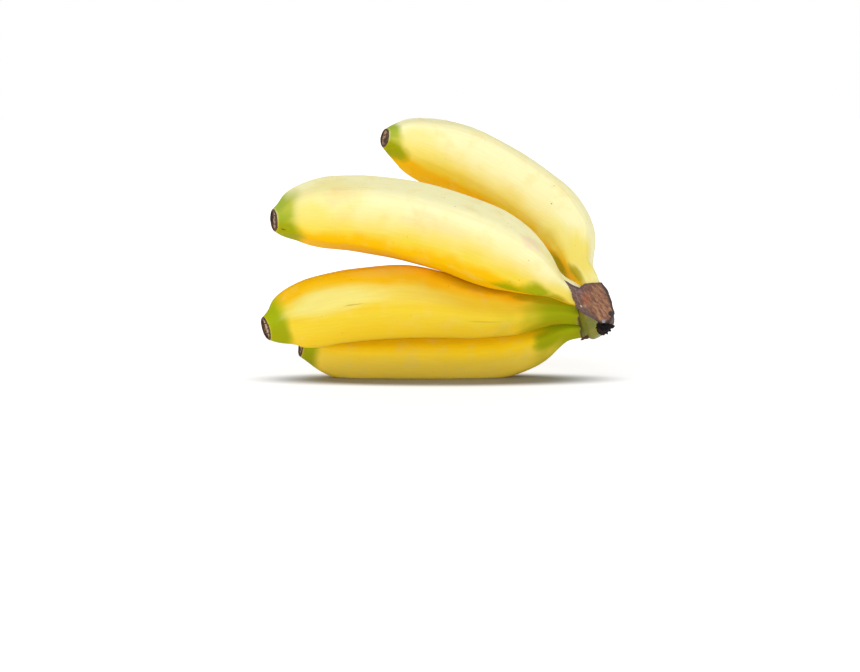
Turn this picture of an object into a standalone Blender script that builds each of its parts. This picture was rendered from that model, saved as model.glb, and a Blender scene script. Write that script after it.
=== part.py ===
"""A hand of four baby bananas joined at a cut crown, lying on the flat underside of its lowest fruit.

Metres, +Z up. The tips point to -X, the crown is at +X, and the front of the hand faces -Y. The origin is
on the surface that the hand lies on, under the middle of its outline. Sizes below are in millimetres.
"""

import math

import bmesh
import bpy
import numpy as np
from mathutils import Matrix, Vector

MM = 0.001
GAP = 0.3  # between pieces that touch
MIDDLE_X = 0.0  # of the hand's outline, which is moved to the origin
MIDDLE_Y = 5.7

# Each fruit: the turn of its ridges about its middle line in degrees (0 faces the front, 90 the upper side),
# and its middle line from the tip to the neck as x, y, z and mean radius.
FRUITS = {
    "top": {
        "ridge": -20,
        "line": [
            (-22.5, 20.0, 96.0, 3.6),
            (-18.5, 21.5, 95.0, 6.3),
            (-13.5, 23.0, 93.6, 9.8),
            (-5.0, 25.0, 91.0, 12.8),
            (7.0, 27.5, 86.8, 14.8),
            (21.5, 29.0, 79.4, 15.4),
            (35.5, 28.5, 70.6, 15.6),
            (46.0, 25.5, 62.2, 15.0),
            (52.0, 19.8, 54.6, 12.6),
            (54.8, 13.2, 48.4, 9.0),
            (56.6, 7.8, 43.4, 6.5),
            (59.6, 3.2, 38.8, 5.0),
            (61.8, 1.4, 35.2, 4.1),
        ],
    },
    "front": {
        "ridge": -38,
        "line": [
            (-65.0, -13.5, 64.3, 4.1),
            (-61.0, -12.0, 64.9, 6.9),
            (-55.5, -10.5, 65.8, 10.4),
            (-47.0, -9.5, 66.6, 13.4),
            (-35.0, -9.5, 66.6, 14.6),
            (-21.0, -11.0, 65.2, 15.3),
            (-7.0, -14.5, 62.8, 15.6),
            (6.5, -17.8, 59.0, 15.5),
            (20.5, -18.5, 53.6, 15.2),
            (30.5, -17.5, 48.6, 13.2),
            (39.0, -15.0, 43.2, 9.7),
            (46.0, -11.0, 38.5, 5.8),
            (53.5, -7.0, 34.3, 4.4),
            (57.5, -5.5, 32.3, 4.0),
        ],
    },
    "lower": {
        "ridge": -3,
        "line": [
            (-69.0, -13.5, 21.5, 4.2),
            (-65.0, -12.5, 22.9, 7.1),
            (-59.5, -11.5, 24.8, 10.5),
            (-52.0, -11.0, 27.0, 13.0),
            (-40.5, -11.0, 29.7, 14.0),
            (-27.0, -11.0, 31.6, 14.3),
            (-13.0, -10.8, 32.3, 14.3),
            (1.0, -9.6, 30.6, 12.9),
            (12.5, -8.0, 28.5, 11.3),
            (24.5, -6.5, 27.3, 9.6),
            (32.5, -5.0, 27.0, 8.3),
            (38.5, -4.0, 27.0, 6.7),
            (43.5, -3.0, 27.1, 5.5),
            (49.0, -2.0, 26.9, 4.6),
            (55.5, -0.9, 25.9, 3.55),
            (58.5, -0.5, 25.5, 3.3),
        ],
    },
    "under": {
        "ridge": 12,
        "line": [
            (-55.5, 3.0, 12.4, 4.1),
            (-51.0, 4.0, 11.7, 6.6),
            (-45.5, 4.5, 10.8, 9.2),
            (-35.5, 4.5, 9.5, 11.3),
            (-21.5, 4.5, 8.9, 12.0),
            (-7.0, 4.5, 8.8, 12.1),
            (7.0, 4.5, 8.9, 12.0),
            (21.0, 4.8, 9.5, 11.4),
            (32.5, 5.0, 11.5, 10.0),
            (40.5, 5.0, 13.9, 8.3),
            (46.5, 4.0, 16.6, 5.9),
            (51.0, 3.0, 18.5, 4.3),
            (56.5, 2.8, 19.3, 3.6),
            (59.5, 3.5, 19.4, 3.2),
        ],
    },
}
SIDES = 20  # of a fruit's section, four to each of its five faces
RINGS = 30
BODY_SHARPNESS = 6.0  # how plainly the five ridges show
END_SHARPNESS = 10.0

BLOSSOM_LENGTH = 1.5  # of the dried flower scar that ends each fruit
BLOSSOM_RIM = 1.1
BLOSSOM_HOLLOW = 0.9

CROWN_MIDDLE = (63.0, -1.3, 27.0)
CROWN_SIZE = (14.1, 19.2, 22.2)
CROWN_LEAN = -11.0  # degrees
CROWN_SQUARENESS = 3.0  # 2 is an ellipsoid, more is nearer to a box
CUT_FACE = ((63.5, -9.6, 31.0), (0.42, -0.85, 0.32))  # a point on the dried cut and the way it faces
SIDE_FACE = ((61.5, -9.8, 20.0), (-0.15, -0.9, -0.42))
TORN_FACE = ((67.2, -6.0, 20.2), (0.62, -0.25, -0.74))
STUMP_BASE = (63.9, -6.6, 22.8)  # the torn end of the stem, low on the crown
STUMP_TIP = (66.8, -9.5, 19.4)
STUMP_WIDTHS = (8.0, 5.6)
POINT_BASE = (61.5, -7.0, 33.6)  # a dried point of the cut that lies over the front fruit's neck
POINT_TIP = (50.4, -12.9, 40.6)
POINT_WIDTHS = (9.0, 0.8)
SOCKET_REACH = 22.0  # how far up each neck the crown keeps clear of it

PEEL_COLOUR = (0.87, 0.62, 0.09)
CORK_COLOUR = (0.16, 0.09, 0.05)
BARK_COLOUR = (0.20, 0.11, 0.07)


def place(x, y, z):
    """A point of the hand, in metres from the origin."""
    return Vector((x - MIDDLE_X, y - MIDDLE_Y, z)) * MM


def material(name, colour, roughness):
    made = bpy.data.materials.new(name)
    made.use_nodes = True
    shader = made.node_tree.nodes["Principled BSDF"]
    shader.inputs["Base Color"].default_value = (*colour, 1.0)
    shader.inputs["Roughness"].default_value = roughness
    shader.inputs["Metallic"].default_value = 0.0
    made.diffuse_color = (*colour, 1.0)
    return made


def new_object(name, mesh_builder, collection, finish=None):
    """An object from a bmesh, shaded smooth with its crisp edges kept."""
    mesh = bpy.data.meshes.new(name)
    mesh_builder.to_mesh(mesh)
    mesh_builder.free()
    mesh.shade_smooth()
    mesh.set_sharp_from_angle(angle=math.radians(50))
    made = bpy.data.objects.new(name, mesh)
    collection.objects.link(made)
    if finish:
        mesh.materials.append(finish)
    return made


def line_length(line):
    rows = np.array(line)
    return float(np.linalg.norm(np.diff(rows[:, :3], axis=0), axis=1).sum())


def on_line(line, distances):
    """Points, radii and directions to the tip, at distances from the tip along a smooth line."""
    rows = np.array(line)
    reach = np.concatenate([[0.0], np.cumsum(np.linalg.norm(np.diff(rows[:, :3], axis=0), axis=1))])
    slopes = np.gradient(rows, reach, axis=0)
    near = np.clip(np.searchsorted(reach, distances, side="right") - 1, 0, len(reach) - 2)
    span = (reach[near + 1] - reach[near])[:, None]
    t = (np.asarray(distances) - reach[near])[:, None] / span
    made = (
        (2 * t**3 - 3 * t**2 + 1) * rows[near]
        + (t**3 - 2 * t**2 + t) * span * slopes[near]
        + (3 * t**2 - 2 * t**3) * rows[near + 1]
        + (t**3 - t**2) * span * slopes[near + 1]
    )
    travel = (
        (6 * t**2 - 6 * t) * (rows[near] - rows[near + 1]) / span
        + (3 * t**2 - 4 * t + 1) * slopes[near]
        + (3 * t**2 - 2 * t) * slopes[near + 1]
    )[:, :3]
    return made[:, :3], made[:, 3], -travel / np.linalg.norm(travel, axis=1)[:, None]


def five_sided(angles, ridge, sharpness):
    """Distance from the middle of a rounded five-sided section to its edge, 1 on average."""
    faces = np.radians(ridge + 36 + 72 * np.arange(5))
    towards = np.clip(np.cos(angles[:, None] - faces), 0, None)
    reach = (towards**sharpness).sum(1) ** (-1 / sharpness)
    return reach / reach.mean()


def banana_skin(fruit, start, stop, rings, swell=0.0):
    """A closed bmesh of a fruit between two distances from its tip, swollen by some millimetres."""
    shape = bmesh.new()
    bmesh.ops.create_cone(shape, cap_ends=True, segments=SIDES, radius1=1, radius2=1, depth=2)
    lengthwise = [e for e in shape.edges if e.verts[0].co.z * e.verts[1].co.z < 0]
    bmesh.ops.subdivide_edges(shape, edges=lengthwise, cuts=rings - 2)
    total = line_length(fruit["line"])
    for vert in shape.verts:
        share = 0.5 + 0.5 * math.sin(vert.co.z * math.pi / 2)
        distance = start + (stop - start) * share
        along = abs(2 * distance / total - 1) ** 3
        sharpness = BODY_SHARPNESS + (END_SHARPNESS - BODY_SHARPNESS) * along
        angles = np.arange(SIDES) * math.tau / SIDES
        side = round(math.atan2(vert.co.y, vert.co.x) / math.tau * SIDES) % SIDES
        middle, radius, to_tip = (values[0] for values in on_line(fruit["line"], np.array([distance])))
        to_front = Vector((0, -1, 0)) - Vector(to_tip) * Vector((0, -1, 0)).dot(Vector(to_tip))
        to_front.normalize()
        to_top = Vector(to_tip).cross(to_front)
        reach = radius * five_sided(angles, fruit["ridge"], sharpness)[side] + swell
        angle = angles[side]
        vert.co = place(*middle) + (to_front * math.cos(angle) + to_top * math.sin(angle)) * reach * MM
    bmesh.ops.reverse_faces(shape, faces=shape.faces)
    return shape


def slice_off(shape, point, outward):
    """Cuts away what lies beyond a plane and closes the face that this leaves."""
    parts = shape.verts[:] + shape.edges[:] + shape.faces[:]
    cut = bmesh.ops.bisect_plane(shape, geom=parts, plane_co=point, plane_no=outward, clear_outer=True)
    rim = [e for e in cut["geom_cut"] if isinstance(e, bmesh.types.BMEdge)]
    bmesh.ops.contextual_create(shape, geom=rim)
    bmesh.ops.recalc_face_normals(shape, faces=shape.faces)


def banana(name, fruit, collection, finish):
    """One whole fruit, from its blossom end to its neck in the crown."""
    shape = banana_skin(fruit, BLOSSOM_LENGTH + GAP, line_length(fruit["line"]), RINGS)
    if min(vert.co.z for vert in shape.verts) < 0:
        slice_off(shape, (0, 0, 0), (0, 0, -1))
    return new_object(name, shape, collection, finish)


def blossom_end(name, fruit, collection, finish):
    """The dried scar that the flower left: a short corky ring with a hollow end."""
    shape = banana_skin(fruit, 0.0, BLOSSOM_LENGTH, 4)
    tip = place(*fruit["line"][0][:3])
    end = min((f for f in shape.faces if len(f.verts) == SIDES), key=lambda f: (f.calc_center_median() - tip).length)
    outward = end.normal.copy()
    bmesh.ops.inset_region(shape, faces=[end], thickness=BLOSSOM_RIM * MM)
    bmesh.ops.translate(shape, verts=end.verts, vec=-outward * BLOSSOM_HOLLOW * MM)
    return new_object(name, shape, collection, finish)


def rounded_block(middle, size, lean):
    """A closed block with every edge well rounded, leaning about Y."""
    shape = bmesh.new()
    bmesh.ops.create_uvsphere(shape, u_segments=24, v_segments=14, radius=1)
    for vert in shape.verts:
        vert.co /= sum(abs(value) ** CROWN_SQUARENESS for value in vert.co) ** (1 / CROWN_SQUARENESS)
    turn = Matrix.Rotation(math.radians(lean), 4, "Y")
    half = Matrix.Diagonal((*(value / 2 * MM for value in size), 1))
    bmesh.ops.transform(shape, matrix=Matrix.Translation(place(*middle)) @ turn @ half, verts=shape.verts)
    return shape


def horn(base, tip, base_width, tip_width, sides):
    """A straight tapered spike between two points."""
    shape = bmesh.new()
    start, end = place(*base), place(*tip)
    bmesh.ops.create_cone(
        shape,
        cap_ends=True,
        segments=sides,
        radius1=base_width / 2 * MM,
        radius2=tip_width / 2 * MM,
        depth=(end - start).length,
    )
    aim = (end - start).to_track_quat("Z", "Y").to_matrix().to_4x4()
    bmesh.ops.transform(shape, matrix=Matrix.Translation((start + end) / 2) @ aim, verts=shape.verts)
    return shape


def boolean(target, operation, tool):
    step = target.modifiers.new(f"{operation.lower()} {tool.name}", "BOOLEAN")
    step.operation = operation
    step.object = tool
    step.solver = "EXACT"
    tool.hide_render = True
    tool.display_type = "WIRE"


def crown(collection, cutters, finish):
    """The pad that the necks grow from, with its dried cut, its torn stump and a socket round each neck."""
    block = rounded_block(CROWN_MIDDLE, CROWN_SIZE, CROWN_LEAN)
    for point, outward in (CUT_FACE, SIDE_FACE, TORN_FACE):
        slice_off(block, place(*point), outward)
    made = new_object("crown", block, collection, finish)
    stump = new_object("stump", horn(STUMP_BASE, STUMP_TIP, *STUMP_WIDTHS, 9), cutters)
    point = new_object("dried_point", horn(POINT_BASE, POINT_TIP, *POINT_WIDTHS, 8), cutters)
    for tool in (stump, point):
        boolean(made, "UNION", tool)
    for name, fruit in FRUITS.items():
        total = line_length(fruit["line"])
        socket = banana_skin(fruit, total - SOCKET_REACH, total + GAP, 10, swell=GAP)
        boolean(made, "DIFFERENCE", new_object(f"socket_{name}", socket, cutters))
    return made


for old in list(bpy.data.objects):
    bpy.data.objects.remove(old, do_unlink=True)
hand = bpy.data.collections.new("baby_banana_hand")
cutters = bpy.data.collections.new("cutters")
for group in (hand, cutters):
    bpy.context.scene.collection.children.link(group)
peel = material("banana peel", PEEL_COLOUR, 0.45)
cork = material("dried blossom end", CORK_COLOUR, 0.9)
bark = material("dried crown", BARK_COLOUR, 0.85)
for fruit_name, fruit_shape in FRUITS.items():
    banana(f"finger_{fruit_name}", fruit_shape, hand, peel)
    blossom_end(f"blossom_end_{fruit_name}", fruit_shape, hand, cork)
crown(hand, cutters, bark)
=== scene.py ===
"""The looks of a hand of four baby bananas: waxy peels, corky blossom ends and a dried, torn crown.

Metres, +Z up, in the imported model's frame. The tips point to -X, the crown is at +X, the front faces -Y.
Sizes are in millimetres where MM turns them into metres.
"""

import math

import bmesh
import bpy
import numpy as np
from mathutils import Matrix, Vector, noise
from mathutils.geometry import intersect_point_line


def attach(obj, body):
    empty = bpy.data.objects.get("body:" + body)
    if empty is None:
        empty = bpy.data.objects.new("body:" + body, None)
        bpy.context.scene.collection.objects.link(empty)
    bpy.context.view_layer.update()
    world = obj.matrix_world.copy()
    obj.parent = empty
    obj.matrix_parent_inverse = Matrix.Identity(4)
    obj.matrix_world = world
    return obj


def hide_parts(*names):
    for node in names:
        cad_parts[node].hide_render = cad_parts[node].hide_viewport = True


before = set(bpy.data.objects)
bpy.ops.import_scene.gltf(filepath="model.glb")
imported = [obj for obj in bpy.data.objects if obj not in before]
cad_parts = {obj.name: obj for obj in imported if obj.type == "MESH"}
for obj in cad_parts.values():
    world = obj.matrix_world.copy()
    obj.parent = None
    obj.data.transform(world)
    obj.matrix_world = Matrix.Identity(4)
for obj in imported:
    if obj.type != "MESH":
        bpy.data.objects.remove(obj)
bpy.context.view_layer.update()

# The fruits
# Four plump finger bananas, each a closed body of soft fruit in a waxy peel, grown from the crown by its
# neck. Five rounded ridges run along each. The peel is green at the tip and at the lower two necks. Its pale
# upper side and orange underside are painted light and shade, as are the darker bands where one fruit
# shades the next.

MM = 0.001
MIDDLE_Y = 5.7  # of the hand's outline, which stands over the origin
STEP = 0.25  # along a fruit's middle line
SMOOTHING = 25  # steps that the line's bends are eased over
PEEL_SEGMENTS = 100
PEEL_RINGS = 240
PEEL_START = 0.5  # from the tip, just short of the corky rim
TUCK = [(2.2, -1.6), (1.2, -0.8), (0.7, -0.25), (0.52, -0.06)]  # the rim turned in: distance and inset
END_SHARPNESS = 11.0  # how plainly the five ridges show at the ends
TIP_SHARPNESS = 3.5
ROUND_TIP = 7.0  # from the tip, the length over which the section grows round
HOLLOW_DEPTH = 0.22  # of the broad hollows that age leaves in the peel
HOLLOW_LENGTH = 17.0
HOLLOW_MEAN = 0.6  # by which they lower the peel, as a share of their depth
DIMPLE_SHARE = 0.25  # of that depth, for the small dimples between them
DIMPLE_LENGTH = 4.0
SMOOTH_END = 12.0  # from either end, where the hollows fade
RIDGE_WANDER = 2.5  # degrees that a ridge strays along the fruit
RIDGE_BEND = 22.0  # the length over which it does

# Each fruit: the turn of its ridges in degrees (0 faces the front, 90 the upper side), how plainly they show
# along its body, and its middle line from the tip to the neck as x, y, z and mean radius.
FRUITS = {
    "top": {
        "ridge": -20,
        "sharpness": 6.0,
        "line": [
            (-22.0, 19.8, 95.4, 3.5),
            (-18.3, 21.5, 94.6, 6.5),
            (-13.5, 23.0, 93.6, 9.8),
            (-5.0, 25.0, 90.9, 12.8),
            (7.0, 27.5, 86.8, 14.8),
            (21.5, 28.9, 79.4, 15.4),
            (35.5, 28.5, 70.6, 15.3),
            (46.0, 25.5, 62.2, 15.0),
            (52.2, 20.0, 54.8, 12.6),
            (54.6, 13.0, 48.2, 9.0),
            (56.4, 7.0, 43.6, 6.3),
            (58.9, 1.2, 39.7, 5.3),
            (60.3, -2.3, 36.4, 5.2),
            (60.8, -3.4, 34.8, 4.8),
        ],
    },
    "front": {
        "ridge": -38,
        "sharpness": 8.0,
        "line": [
            (-65.0, -13.5, 64.3, 4.1),
            (-61.0, -12.0, 64.6, 7.1),
            (-55.5, -10.5, 65.8, 10.6),
            (-47.0, -9.5, 66.6, 13.4),
            (-35.0, -9.5, 66.6, 14.6),
            (-21.0, -11.0, 65.2, 15.3),
            (-7.0, -14.5, 62.8, 15.6),
            (6.5, -17.8, 59.0, 15.5),
            (20.5, -18.5, 53.6, 15.2),
            (30.5, -17.5, 48.6, 13.2),
            (39.0, -15.0, 43.2, 9.7),
            (46.0, -11.0, 38.3, 5.5),
            (53.5, -7.0, 34.3, 4.4),
            (57.5, -5.5, 32.3, 4.0),
        ],
    },
    "lower": {
        "ridge": -3,
        "sharpness": 7.0,
        "line": [
            (-68.45, -14.3, 21.4, 4.5),
            (-64.6, -12.8, 22.5, 7.3),
            (-59.5, -11.5, 24.8, 10.8),
            (-52.0, -11.0, 27.0, 13.2),
            (-40.5, -11.0, 29.7, 14.0),
            (-27.0, -11.0, 31.6, 14.3),
            (-13.0, -10.8, 32.3, 14.3),
            (1.0, -9.6, 30.6, 12.9),
            (12.5, -8.0, 28.5, 11.3),
            (24.5, -6.5, 27.3, 9.6),
            (32.5, -5.0, 27.2, 8.5),
            (38.5, -4.0, 27.5, 7.2),
            (43.5, -3.0, 27.7, 6.2),
            (49.0, -2.0, 27.2, 5.1),
            (55.5, -1.0, 26.0, 4.2),
            (58.5, -0.5, 25.5, 3.8),
        ],
    },
    "under": {
        "ridge": 12,
        "sharpness": 7.0,
        "line": [
            (-55.5, 3.0, 12.4, 4.1),
            (-51.0, 4.0, 11.7, 6.6),
            (-45.5, 4.5, 10.8, 9.2),
            (-35.5, 4.5, 9.5, 11.3),
            (-21.5, 4.5, 8.9, 12.0),
            (-7.0, 4.5, 8.8, 12.1),
            (7.0, 4.5, 8.9, 12.0),
            (21.0, 4.8, 9.5, 11.4),
            (32.5, 5.0, 11.5, 10.0),
            (40.5, 5.0, 13.9, 8.3),
            (46.5, 4.0, 16.6, 5.9),
            (51.0, 3.0, 18.5, 4.3),
            (56.5, 2.8, 19.3, 3.6),
            (59.5, 3.5, 19.4, 3.2),
        ],
    },
}


def walk_line(line):
    """The distances, rows of x, y, z, radius, and directions to the tip, every STEP along a smooth line."""
    rows = np.array(line)
    reach = np.concatenate([[0.0], np.cumsum(np.linalg.norm(np.diff(rows[:, :3], axis=0), axis=1))])
    slopes = np.gradient(rows, reach, axis=0)
    steps = np.linspace(0, reach[-1], round(reach[-1] / STEP) + 1)
    near = np.clip(np.searchsorted(reach, steps, side="right") - 1, 0, len(reach) - 2)
    span = (reach[near + 1] - reach[near])[:, None]
    t = (steps - reach[near])[:, None] / span
    made = (
        (2 * t**3 - 3 * t**2 + 1) * rows[near]
        + (t**3 - 2 * t**2 + t) * span * slopes[near]
        + (3 * t**2 - 2 * t**3) * rows[near + 1]
        + (t**3 - t**2) * span * slopes[near + 1]
    )
    ease = np.hanning(SMOOTHING + 2)[1:-1]
    half = SMOOTHING // 2
    longer = np.concatenate([2 * made[0] - made[half:0:-1], made, 2 * made[-1] - made[-2 : -half - 2 : -1]])
    made = np.stack([np.convolve(column, ease / ease.sum(), "valid") for column in longer.T], axis=1)
    to_tip = -np.gradient(made[:, :3], axis=0)
    return steps, made, to_tip / np.linalg.norm(to_tip, axis=1)[:, None]


def pentagon(around, ridge, sharpness):
    """How far a rounded five-sided section reaches at each angle in radians, 1 where it is nearest."""
    faces = np.radians(36 + 72 * np.arange(5))
    towards = np.clip(np.cos((around - ridge)[..., None] - faces), 1e-9, None)
    power = np.asarray(sharpness)[..., None]
    return (towards**power).sum(-1) ** (-1 / power[..., 0])


def along_columns(distances, steps, rows):
    """The rows of a walked line at any distances from the tip."""
    return np.stack([np.interp(distances, steps, column) for column in rows.T], axis=1)


def on_fruit(fruit, around, distances, swell=0.0):
    """Points of a fruit's skin in millimetres, and how near each is to a ridge, from 0 to 1."""
    steps, rows, to_tip = fruit["walk"]
    row = along_columns(distances, steps, rows)
    tip = along_columns(distances, steps, to_tip)
    tip /= np.linalg.norm(tip, axis=1)[:, None]
    front = np.array([0.0, -1.0, 0.0]) + tip * tip[:, 1:2]
    front /= np.linalg.norm(front, axis=1)[:, None]
    top = np.cross(tip, front)
    middle = abs(2 * distances / steps[-1] - 1) ** 3
    sharpness = fruit["sharpness"] + (END_SHARPNESS - fruit["sharpness"]) * middle
    sharpness = TIP_SHARPNESS + (sharpness - TIP_SHARPNESS) * np.clip(distances / ROUND_TIP, 0, 1)
    stray = np.interp(distances, steps, fruit["stray"])
    circle = np.linspace(0, math.tau, 120, endpoint=False)
    some = np.linspace(TIP_SHARPNESS, END_SHARPNESS, 8)
    mean = np.interp(sharpness, some, [pentagon(circle, 0.0, np.full(120, s)).mean() for s in some])
    reach = pentagon(around, np.radians(fruit["ridge"]) + stray, sharpness)
    turn = np.degrees(around) - fruit["ridge"] - np.degrees(stray)
    ridge = 1 - abs((turn + 36) % 72 - 36) / 36
    out = row[:, 3] * reach / mean + swell
    side = front * np.cos(around)[:, None] + top * np.sin(around)[:, None]
    points = row[:, :3] + side * out[:, None] - np.array([0.0, MIDDLE_Y, 0.0])
    return points, ridge, side


def bar(name, segments, rings):
    """A closed round bar cut into rings, with each point's angle and its place from 0 to 1 along the bar."""
    shape = bmesh.new()
    bmesh.ops.create_cone(shape, cap_ends=True, segments=segments, radius1=1, radius2=1, depth=2)
    lengthwise = [e for e in shape.edges if e.verts[0].co.z * e.verts[1].co.z < 0]
    bmesh.ops.subdivide_edges(shape, edges=lengthwise, cuts=rings - 2)
    bmesh.ops.reverse_faces(shape, faces=shape.faces)
    mesh = bpy.data.meshes.new(name)
    shape.to_mesh(mesh)
    shape.free()
    flat = np.zeros(len(mesh.vertices) * 3)
    mesh.vertices.foreach_get("co", flat)
    flat = flat.reshape(-1, 3)
    return mesh, np.arctan2(flat[:, 1], flat[:, 0]), flat[:, 2] / 2 + 0.5


def fruit_mesh(name, fruit, start, stop, segments, rings):
    """A closed mesh of a fruit between two distances from its tip, with each point's place on the peel."""
    mesh, around, share = bar(name, segments, rings)
    ring = np.rint(share * (rings - 1)).astype(int) - len(TUCK)
    share = np.clip(ring, 0, None) / (rings - 1 - len(TUCK))
    distances = start + (stop - start) * (0.5 - 0.5 * np.cos(share * math.pi))
    inset = np.zeros(len(ring))
    for number, (distance, depth) in enumerate(TUCK):
        distances[ring == number - len(TUCK)] = distance
        inset[ring == number - len(TUCK)] = depth
    points, ridge, side = on_fruit(fruit, around, distances, inset)
    peel = np.stack([PEEL_RADIUS * np.cos(around), PEEL_RADIUS * np.sin(around), distances], axis=1)
    seed = fruit["seed"]
    length = fruit["walk"][0][-1]
    hollows = np.array([noise.noise(Vector(p) / HOLLOW_LENGTH + seed) for p in peel])
    dimples = np.array([noise.noise(Vector(p) / DIMPLE_LENGTH + seed) for p in peel])
    swell = hollows + DIMPLE_SHARE * dimples - HOLLOW_MEAN
    ends = np.clip(np.minimum(distances, length - distances) / SMOOTH_END, 0, 1)
    points += side * (HOLLOW_DEPTH * ends * swell)[:, None]
    points[:, 2] = np.maximum(points[:, 2], 0)
    mesh.vertices.foreach_set("co", (points * MM).ravel())
    put_values(mesh, "peel", peel)
    put_values(mesh, "ridge", ridge)
    put_values(mesh, "neck", length - distances + 1)
    mesh.shade_smooth()
    return mesh


def put_values(mesh, name, values):
    """A named value at each point of a mesh, a number or a vector."""
    kind, field = ("FLOAT", "value") if values.ndim == 1 else ("FLOAT_VECTOR", "vector")
    layer = mesh.attributes.new(name, kind, "POINT")
    layer.data.foreach_set(field, values.astype(np.float32).ravel())


def piece(name, mesh, finish, slot, *nodes):
    """A finished piece of the hand that rides on its one body and stands for some of its nodes."""
    made = bpy.data.objects.new(name, mesh)
    bpy.context.scene.collection.objects.link(made)
    mesh.materials.clear()
    mesh.materials.append(finish)
    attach(made, "root")
    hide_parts(*nodes)


def new_finish(name):
    """A new material, with its node tree and its shader."""
    made = bpy.data.materials.new(name)
    made.use_nodes = True
    return made, made.node_tree, made.node_tree.nodes["Principled BSDF"]


def add(tree, kind, *values, **settings):
    """A shader node whose inputs take numbers, colours or other nodes' sockets in their order."""
    made = tree.nodes.new("ShaderNode" + kind)
    for name, value in settings.items():
        setattr(made, name, value)
    sockets = [s for s in made.inputs if s.enabled]
    for socket, value in zip(sockets, values):
        if isinstance(value, bpy.types.NodeSocket):
            tree.links.new(value, socket)
        else:
            socket.default_value = value
    return next(s for s in made.outputs if s.enabled)


def named(socket, name):
    """The output with this name on the node that a socket belongs to."""
    return next(s for s in socket.node.outputs if s.name == name)


def object_place(tree):
    """Where a point lies in the hand's own frame, in metres."""
    return named(add(tree, "TexCoord"), "Object")


def stored(tree, name, kind="Fac"):
    """A value that a mesh keeps at its points."""
    return named(add(tree, "Attribute", attribute_name=name), kind)


def relief(tree, shader, height, strength, depth):
    """Fine relief on a finish, its depth in millimetres."""
    bump = tree.nodes.new("ShaderNodeBump")
    bump.inputs["Strength"].default_value = strength
    bump.inputs["Distance"].default_value = depth * MM
    tree.links.new(height, bump.inputs["Height"])
    tree.links.new(bump.outputs["Normal"], shader.inputs["Normal"])


def blend(tree, share, one, other):
    """One colour turning into another."""
    return add(tree, "Mix", share, one, other, data_type="RGBA")


def between(tree, value, low, high, first=0.0, last=1.0):
    """A value eased from first to last as it goes from low to high."""
    return add(tree, "MapRange", value, low, high, first, last, interpolation_type="SMOOTHSTEP")


def times(tree, one, other):
    """The product of two values."""
    return add(tree, "Math", one, other, operation="MULTIPLY")


def plus(tree, one, other):
    """The sum of two values."""
    return add(tree, "Math", one, other, operation="ADD")


def speckle(tree, place, stretch, scale, detail=3.0, roughness=0.55):
    """Noise on a place whose axes are stretched."""
    moved = add(tree, "VectorMath", place, stretch, operation="MULTIPLY")
    made = add(tree, "TexNoise", moved, noise_dimensions="3D")
    made.node.inputs["Scale"].default_value = scale
    made.node.inputs["Detail"].default_value = detail
    made.node.inputs["Roughness"].default_value = roughness
    return made


def group(name, inputs, outputs):
    """An empty shader group with named inputs and outputs, and its input node's sockets by name."""
    tree = bpy.data.node_groups.new(name, "ShaderNodeTree")
    for label, kind in inputs.items():
        tree.interface.new_socket(label, in_out="INPUT", socket_type="NodeSocket" + kind)
    for label, kind in outputs.items():
        tree.interface.new_socket(label, in_out="OUTPUT", socket_type="NodeSocket" + kind)
    entry = tree.nodes.new("NodeGroupInput")
    leave = tree.nodes.new("NodeGroupOutput")
    return tree, {s.name: s for s in entry.outputs}, {s.name: s for s in leave.inputs}


def use(tree, shared, **values):
    """A shared group placed in a material with its own values; underscores stand for spaces."""
    made = tree.nodes.new("ShaderNodeGroup")
    made.node_tree = shared
    for name, value in values.items():
        socket = made.inputs[name.replace("_", " ")]
        if isinstance(value, bpy.types.NodeSocket):
            tree.links.new(value, socket)
        else:
            socket.default_value = value
    return made.outputs


def peel_side_group():
    """The strip of peel that faces one way around the fruit, with a cloudy edge."""
    tree, given, made = group(
        "peel_side",
        {"Peel": "Vector", "Place": "Vector", "Towards": "Vector", "From": "Float", "To": "Float"},
        {"Mask": "Float"},
    )
    way = add(tree, "VectorMath", given["Peel"], given["Towards"], operation="DOT_PRODUCT")
    way = named(way, "Value")
    cloud = speckle(tree, given["Place"], (1, 1, 1), 60.0, 2)
    way = plus(tree, times(tree, way, 1 / PEEL_RADIUS), between(tree, cloud, 0.2, 0.8, -0.12, 0.12))
    tree.links.new(between(tree, way, given["From"], given["To"]), made["Mask"])
    return tree


def peel_green_group():
    """How green the unripe ends of the peel still are."""
    tree, given, made = group(
        "peel_green",
        {"Peel": "Vector", "Place": "Vector", "Neck": "Float", "Tip Reach": "Float", "Neck Reach": "Float"},
        {"Mask": "Float"},
    )
    tip = named(add(tree, "SeparateXYZ", given["Peel"]), "Z")
    cloud = speckle(tree, given["Place"], (1, 1, 1), 75.0, 1)
    shift = between(tree, cloud, 0.25, 0.75, 0.82, 1.18)
    tip_reach = times(tree, given["Tip Reach"], shift)
    neck_reach = times(tree, given["Neck Reach"], shift)
    tip_share = add(tree, "Math", tip, tip_reach, operation="DIVIDE")
    neck_share = add(tree, "Math", given["Neck"], neck_reach, operation="DIVIDE")
    tip_green = between(tree, tip_share, 0.55, 1.15, 1.0, 0.0)
    tip_green = times(tree, tip_green, between(tree, tip, 0.5, 1.3, 0.6, 1.0))
    neck_green = between(tree, neck_share, 0.45, 1.2, 1.0, 0.0)
    tree.links.new(add(tree, "Math", tip_green, neck_green, operation="MAXIMUM"), made["Mask"])
    return tree


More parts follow.
